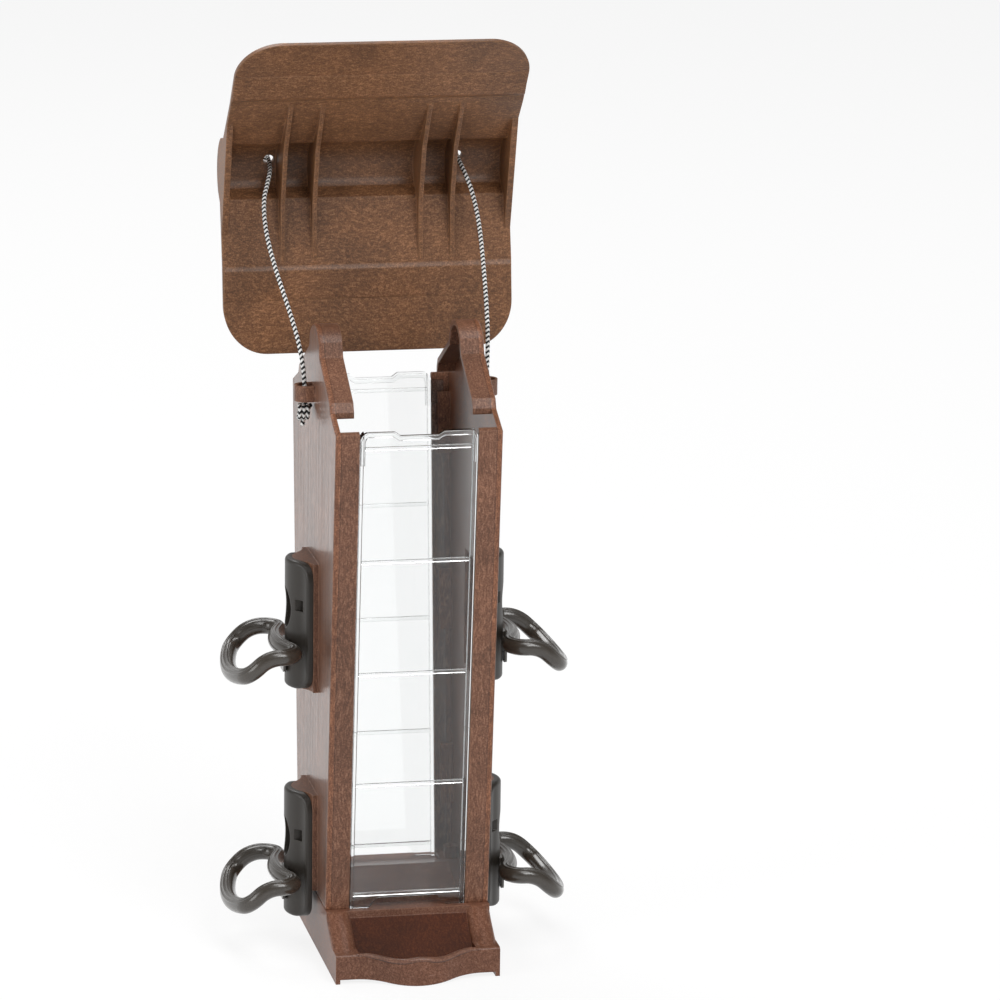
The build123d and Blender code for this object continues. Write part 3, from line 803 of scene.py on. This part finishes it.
def tangent_arc(start, heading, stop):
    """Points of the arc that leaves a start along a heading and ends at a stop, and the headings there.

    Its radius is the chord's square over twice the stop's distance from the heading's line, and it
    turns by twice the angle between the heading and the chord.
    """
    chord = stop - start
    aside = chord - heading * (chord @ heading)
    rise = np.linalg.norm(aside)
    radius = chord @ chord / (2 * rise)
    turn = np.linspace(0, 2 * np.arctan2(rise, chord @ heading), arc_points)[:, None]
    inward = aside / rise
    points = start + radius * (np.sin(turn) * heading + (1 - np.cos(turn)) * inward)
    return points, np.cos(turn) * heading + np.sin(turn) * inward


def ring_line():
    """Points, headings and tops all the way round a ring, from the crest at the port and back to it.

    A top is the upward direction tilted outwards, with its part along the heading taken out.
    """
    points, headings, tilts = [], [np.array([[0.0, 1.0, 0.0]])], []
    for number, (start, stop) in enumerate(zip(ring_stops, ring_stops[1:])):
        arc, along = tangent_arc(start, headings[-1][-1], stop)
        points.append(arc[:-1])
        headings.append(along)
        tilts.append(np.linspace(*ring_tilts[number : number + 2], len(arc))[:-1])
    points = np.r_[(*points, ring_stops[-1:])]
    headings = np.r_[(*(along[:-1] for along in headings[1:]), headings[-1][-1:])]
    tilts = np.r_[(*tilts, ring_tilts[-1:])]
    tops = np.stack([np.sin(tilts), 0 * tilts, np.cos(tilts)], 1)
    back = slice(-2, 0, -1)
    points = np.r_[points, points[back] * (1, -1, 1)]
    headings = np.r_[headings, headings[back] * (-1, 1, -1)]
    tops = np.r_[tops, tops[back]]
    tops = tops - headings * np.sum(tops * headings, axis=1, keepdims=True)
    tops /= np.linalg.norm(tops, axis=1, keepdims=True)
    return points, headings, tops


ring_points, ring_headings, ring_tops = ring_line()
print("points round a ring:", len(ring_points), "reaching out to", ring_points[:, 0].max().round(2), "mm")

# %% [markdown]
# ## Ridges on the perch rings
#
# Three fine ridges run along the top of every ring, for a bird's toes. They could be a bump in the
# finish, but they show against the light at the edge of the bar, so they are real. A ridge is a thin
# tube at an angle to the bar's top, sunk in the bar by a little more than half.

# %% Ridges along the rings
bar_radius = 4.45
ridge_radius = 0.75
ridge_sink = 0.3
ridge_angles = np.radians([-20, 7, 34])
perch_levels = {"lower": 54, "upper": 188}
tube_sides = 10


def tube(line, across, other, radius):
    """Grid of a tube: each point of a line plus a ring on its two normals, times a radius.

    The radius may change along the line.
    """
    angle = np.linspace(0, 2 * np.pi, tube_sides, endpoint=False)
    return line[:, None] + rings(across, other, angle) * np.broadcast_to(radius, len(line))[:, None, None]


def ridges(name, side, level):
    """Three tubes along one ring, each at its own angle from the top of the bar."""
    grids = []
    for angle in ridge_angles:
        out = np.cos(angle) * ring_tops + np.sin(angle) * np.cross(ring_headings, ring_tops)
        line = ring_points + out * (bar_radius - ridge_sink)
        grid = tube(line, out, np.cross(ring_headings, out), ridge_radius)
        grids.append((grid[:, ::side] + (0, 0, level)) * (side / 1000, 0.001, 0.001))
    piece = surface(name, grids, perch_finish, close_rows=True, close_columns=True)
    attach(piece, "housing")


for level, height in perch_levels.items():
    for name, side in (("left", -1), ("right", 1)):
        ridges(f"{name}_{level}_perch_ridges", side, height)

# %% [markdown]
# ## Finding the tray's lip
#
# The lip of each trough is a wavy, bowed wall, and the next pieces have to follow it. Its formula
# could be written down again, but then it would be in two places. Rays shot at the tray find its
# outer face, its top and its inner face, wherever they are.

# %% Rays at the lip
ray_start, ray_level, ray_top = 0.2, 0.009, 0.06
behind_face, behind_wall = 0.002, 0.0075
below_top = 0.001
lip_samples = 121


def hit(node, start, direction):
    """Place where a ray first meets a node of the frame."""
    found, place, *_ = nodes[node].ray_cast(Vector(start), Vector(direction))
    assert found, (node, start)
    return np.array(place)


def along_lip(facing, half_length, level):
    """Outer places on a lip at the level given for each x and top, and inner places just below its top."""
    outer, inner = [], []
    for x in np.linspace(-half_length, half_length, lip_samples):
        face = hit("base_tray", (x, facing * ray_start, ray_level), (0, -facing, 0))
        top = hit("base_tray", (x, face[1] - facing * behind_face, ray_top), (0, 0, -1))[2]
        outer.append(hit("base_tray", (x, facing * ray_start, level(x, top)), (0, -facing, 0)))
        inside = x, face[1] - facing * behind_wall, top - below_top
        inner.append(hit("base_tray", inside, (0, facing, 0)))
    return np.array(outer), np.array(inner)


bpy.context.view_layer.update()
lip_face = hit("base_tray", (0, -ray_start, ray_level), (0, 1, 0))
print("the middle of the front lip is", abs(lip_face[1]).round(4), "m from the middle of the feeder")

# %% [markdown]
# ## Rolled rim of the lip
#
# The wavy top edge of each lip is rolled, with a groove under the roll. The roll is an oval tube
# round the wall's top, a little wider than the wall, which leaves the groove. Where the lip reaches
# furthest out, the tube moves inwards, so the feeder grows no longer. The groove gets a painted shade:
# the tube's UVs say how high and how far out each place on it is, and its finish is darker where both
# say that it is the underside of the front.

# %% Oval tube along the lip
roll_half_length, roll_proud, roll_drop, roll_half_height = 0.0345, 0.0005, 0.0006, 0.0016
roll_sides = 28
wall_probe = 0.002
# painted shade: the roll's outer underside is darkened to read as the shadow in the groove
groove_shade_tint = (0.3, 0.26, 0.24, 1)
groove_out, groove_up = (0.55, 0.7), (0.25, 0.5)
taper_power, taper_least = 6, 0.02


def groove_painted_shade(place):
    """A painted shade: a tint that darkens the outer underside of a roll, where the groove is."""
    high, far_out, _ = place.node("ShaderNodeUVMap", {"uv_map": "along"}).axes()
    under = far_out.between(*groove_out) * (1 - high.between(*groove_up))
    return under.mix(untinted, groove_shade_tint)


roll_words = {"gloss": 0.3, "shade": groove_painted_shade}
roll_finish = wood_plastic("roll_wood_plastic", out_grain, tray_browns, edge_round=0.0004, **roll_words)


def tapered(count):
    """1 along most of a line, falling to a small value at both ends: the root of 1 less a high power."""
    return np.sqrt(np.clip(1 - np.linspace(-1, 1, count) ** taper_power, taper_least, 1))


def add_to_lip(name, grid, finish, uv=None):
    """A closed tube that belongs to the housing, from its grid."""
    piece = surface(name, [grid], finish, close_columns=True, caps=True, uv=uv)
    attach(piece, "housing")
    print(name, "spans", (grid.max((0, 1)) - grid.min((0, 1))).round(4))


def lip_roll(name, facing):
    """An oval tube a little below the top of a lip's wall, tapered at both ends.

    Round its middle line it goes out by the half width times a cosine, and up by the half height times
    a sine. The half width is half of the wall and what stands proud of it.
    """
    outer, inner = along_lip(facing, roll_half_length, lambda x, top: top - wall_probe)
    top = outer[:, 2] + wall_probe
    reach = np.minimum(np.abs(outer[:, 1]) + roll_proud, np.abs(outer[:, 1]).max())
    back = np.abs(inner[:, 1]) - roll_proud
    line = np.stack([outer[:, 0], facing * (reach + back) / 2, top - roll_drop], 1)
    half_width = (reach - back) / 2 * tapered(len(line))
    angle = np.linspace(0, 2 * np.pi, roll_sides, endpoint=False) * -facing
    far_out = half_width[:, None] * np.cos(angle)
    high = roll_half_height * tapered(len(line))[:, None] * np.sin(angle)
    grid = line[:, None] + np.stack([0 * high, facing * far_out, high], -1)
    uv = np.stack([np.sin(angle), np.cos(angle)], -1) / 2 + 0.5
    add_to_lip(name, grid, roll_finish, np.broadcast_to(uv, (*grid.shape[:2], 2)))


# %% [markdown]
# ## Crease across the lip
#
# A short crease crosses the middle of each lip, curved like a smile. Cutting it into the solid would
# change the frame, and a raised line catches the light as a crease does. It is a thin tube on places
# that rays find on the lip, sunk by most of its radius.

# %% Thin tube across the lip
crease_half_length, crease_radius, crease_proud = 0.013, 0.001, 0.3
crease_level, crease_curve = 0.005, 8.0


def lip_crease(name, facing):
    """A thin tapered tube across the middle of a lip, whose level rises with the square of x."""
    outer, _ = along_lip(facing, crease_half_length, lambda x, top: crease_level + crease_curve * x * x)
    furthest = np.abs(outer[:, 1]).max()
    reach = np.minimum(np.abs(outer[:, 1]) + crease_radius * crease_proud, furthest) - crease_radius
    line = outer * (1, 0, 1) + np.outer(reach, (0, facing, 0))
    across, other = carried_frames(line)
    add_to_lip(name, tube(line, across, other, crease_radius * tapered(len(line))), tray_finish)


for name, facing in (("front", -1), ("rear", 1)):
    lip_roll(f"{name}_lip_roll", facing)
    lip_crease(f"{name}_lip_crease", facing)

# %% [markdown]
# ## Ledges inside the lid
#
# The eaves of the lid are a little thicker than its slopes, and the step between them shows as a
# ledge across the inside of the lid. A line in the finish would not catch the light, so each ledge is
# a low wedge carried straight across: it rises at the step and falls away towards the eave. Two rays
# find the plane of the eave, front and rear.

# %% Wedges carried across the lid
ledge_profile = np.array(
    [
        (-3.4, -0.4),
        (-3.0, 0.0),
        (0.0, 1.4),
        (0.6, 1.6),
        (1.2, 1.58),
        (17.0, 0.05),
        (17.5, 0.0),
        (17.5, -0.4),
    ]
)
ledge_half_length = 0.0832
ledge_stops = 11
eave_levels = {"front": (0.3695, 0.345), "rear": (0.4745, 0.49)}


def lid_ledge(name, levels):
    """A wedge across the lid: its profile, down the eave and out of it, repeated at stops along x.

    levels are those of two rays that meet the eave, at the step and nearer to the eave's edge.
    """
    rearwards = np.array([0.0, 1.0, 0.0])
    first, second = (hit("lid", (0.0, 0.0, level), rearwards) for level in levels)
    down = (second - first) / np.linalg.norm(second - first)
    out = np.cross((1, 0, 0), down)
    out *= -np.sign(out @ rearwards)
    across = np.linspace(-ledge_half_length, ledge_half_length, ledge_stops)
    profile = ledge_profile[:, :1] / 1000 * down + ledge_profile[:, 1:] / 1000 * out
    grid = first + across[:, None, None] * np.array([1.0, 0, 0]) + profile
    order = 1 if np.cross(down, out)[0] < 0 else -1
    piece = surface(name, [grid[:, ::order]], lid_finish, close_columns=True, caps=True)
    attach(piece, "lid")
    print(name, "starts at", first.round(4), "down", down.round(3))


for name, levels in eave_levels.items():
    lid_ledge(f"{name}_lid_ledge", levels)

# %% [markdown]
# ## Rounded bars on the windows
#
# The ribs that stiffen the clear windows have flat backs with round corners, and a rim of that kind
# follows the notched top edge. Round clear plastic bends the view of the dark housing into its
# corners, so these lines are what shows of the windows. Lines in the finish could not bend the view,
# so the bars are real. They lie just behind the sheet, drawn on its sloping plane in millimetres.

# %% Section of a bar
shoulder_depth, foot_depth, taper_height = 144.0, 93.0, 279.0
window_lean = np.arctan((shoulder_depth - foot_depth) / 2 / taper_height)
window_foot = np.array([0.0, -foot_depth / 2, 32.0])
window_up = np.array([0.0, -np.sin(window_lean), np.cos(window_lean)])
window_in = np.array([0.0, np.cos(window_lean), np.sin(window_lean)])
squareness = 0.45
bar_sides = 17


def half_bar(flat_line, depth, radius):
    """Grid of a closed bar with a flat back and round corners, from points across and up the sheet.

    Its section is half a superellipse: the cosine and sine of an angle, raised to a power below 1.
    """
    flat_line = np.array(flat_line)
    line = window_foot + flat_line[:, :1] * (1, 0, 0) + flat_line[:, 1:] * window_up + depth * window_in
    heading = np.gradient(line, axis=0)
    heading /= np.linalg.norm(heading, axis=1, keepdims=True)
    edge = np.cross(window_in, heading)
    angle = np.linspace(0, np.pi, bar_sides)
    wide = np.sign(np.cos(angle)) * np.abs(np.cos(angle)) ** squareness
    high = np.sin(angle) ** squareness
    arc = edge[:, None] * wide[None, :, None] + window_in * high[None, :, None]
    return line[:, None] + arc * radius


print("the windows lean out by", np.degrees(window_lean).round(2), "degrees")

# %% [markdown]
# ## Ribs and rim
#
# Five ribs cross each window at even steps, and the rim is one line with the notch in it. Both windows
# are alike, so the rear one's bars are the front one's, mirrored, with the order of their points
# turned round to keep the faces outwards.

# %% Bars of both windows
rib_top, rib_step, rib_count = 271.4, 66.0, 5
rib_half_length, rib_depth, rib_radius = 30.3, 3.03, 1.0
rim_depth, rim_radius = 2.03, 1.2
rim_line = [
    (-30.9, 262.0),
    (-30.9, 275.5),
    (-30.1, 278.0),
    (-27.8, 279.2),
    (-14.2, 279.2),
    (-10.8, 276.9),
    (10.8, 276.9),
    (14.2, 279.2),
    (27.8, 279.2),
    (30.1, 278.0),
    (30.9, 275.5),
    (30.9, 262.0),
]


def rib(number):
    """One rib, counted from the top."""
    level = rib_top - rib_step * number
    across = [(side * rib_half_length, level) for side in (-1.0, 0.0, 1.0)]
    return half_bar(across, rib_depth, rib_radius)


def window_bars(window, facing):
    """The ribs and the rim of one window."""
    ribs = [rib(number) for number in range(rib_count)]
    rim = half_bar(rim_line, rim_depth, rim_radius)
    for part, grids in (("rib_backs", ribs), ("rim", [rim])):
        grids = [grid[:, ::facing] * (0.001, facing * 0.001, 0.001) for grid in grids]
        piece = surface(f"{window}_{part}", grids, clear_finish, close_columns=True, caps=True)
        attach(piece, window)


window_bars("front_window", 1)
window_bars("rear_window", -1)

# %% [markdown]
# ## Floor
#
# The floor is plain and pale, as in a studio with a white sweep. Lamps strong enough to make it white
# would bleach the feeder, so it is white because its finish says so to the camera: whatever looks at
# it, straight or by way of a mirror or a window, sees mostly a glow, and the light on the feeder stays
# as it is.

# %% White floor
floor_half = 12.0
floor_glow = 0.85


def pale_floor():
    """A dull pale floor that glows for rays that come from the camera, a gloss or a clear piece."""
    material, place = new_material("pale_floor", Base_Color=(0.95, 0.95, 0.95, 1), Roughness=0.9)
    tree = material.node_tree
    path = place.node("ShaderNodeLightPath", out="Is Camera Ray")
    seen = path + path.part("Is Glossy Ray") + path.part("Is Transmission Ray")
    share = (seen * floor_glow).math("MINIMUM", floor_glow)
    dull = Wire(tree, tree.nodes["Principled BSDF"].outputs[0])
    both = place.node("ShaderNodeMixShader", i0=share, i1=dull, i2=place.node("ShaderNodeEmission"))
    tree.links.new(both.socket, tree.nodes["Material Output"].inputs["Surface"])
    return material


corners = np.array([[[-1, -1, 0], [1, -1, 0]], [[-1, 1, 0], [1, 1, 0]]]) * floor_half
floor = surface("floor", [corners], pale_floor())

# %% [markdown]
# ## Light
#
# The light is soft, as from large white screens. The sky is white at the horizon and darker overhead,
# which gives round dark plastic its light flanks and dark back. Four large square lamps do the rest:
# they could be a picture of a studio wrapped round the scene, but lamps are easier to move.

# %% Sky and lamps
sky_strength = 0.8
sky_from, sky_to = 0.05, 0.6
horizon, overhead = (1, 1, 1, 1), (0.2, 0.2, 0.2, 1)
feeder_middle = 0.0, 0.0, 0.25


def studio_lamp(name, place, size, power):
    """A square soft lamp of a size in metres, aimed at the middle of the feeder."""
    data = bpy.data.lights.new(name, "AREA")
    data.size = size
    data.energy = power
    lamp = bpy.data.objects.new(name, data)
    lamp.location = place
    lamp.rotation_euler = (Vector(feeder_middle) - Vector(place)).to_track_quat("-Z", "Y").to_euler()
    bpy.context.scene.collection.objects.link(lamp)
    print(name, "lamp", power, "W")


world = bpy.data.worlds.new("studio")
bpy.context.scene.world = world
world.use_nodes = True
sky = world.node_tree.nodes["Background"]
upwards = Wire(world.node_tree).node("ShaderNodeTexCoord", out="Generated").axes()[2]
dome = upwards.between(sky_from, sky_to).mix(horizon, overhead)
world.node_tree.links.new(dome.socket, sky.inputs["Color"])
sky.inputs["Strength"].default_value = sky_strength
studio_lamp("key", (0.8, -2.0, 2.7), size=1.4, power=46.0)
studio_lamp("fill", (-2.6, -1.0, 1.5), size=1.6, power=28.0)
studio_lamp("top", (0.2, -0.6, 2.9), size=1.2, power=20.0)
studio_lamp("back", (-0.4, 1.8, 2.6), size=1.6, power=44.0)

bpy.context.scene.view_settings.view_transform = "Standard"

# %% [markdown]
# ## The end
#
# The dressed feeder must stay inside the box of the solids.
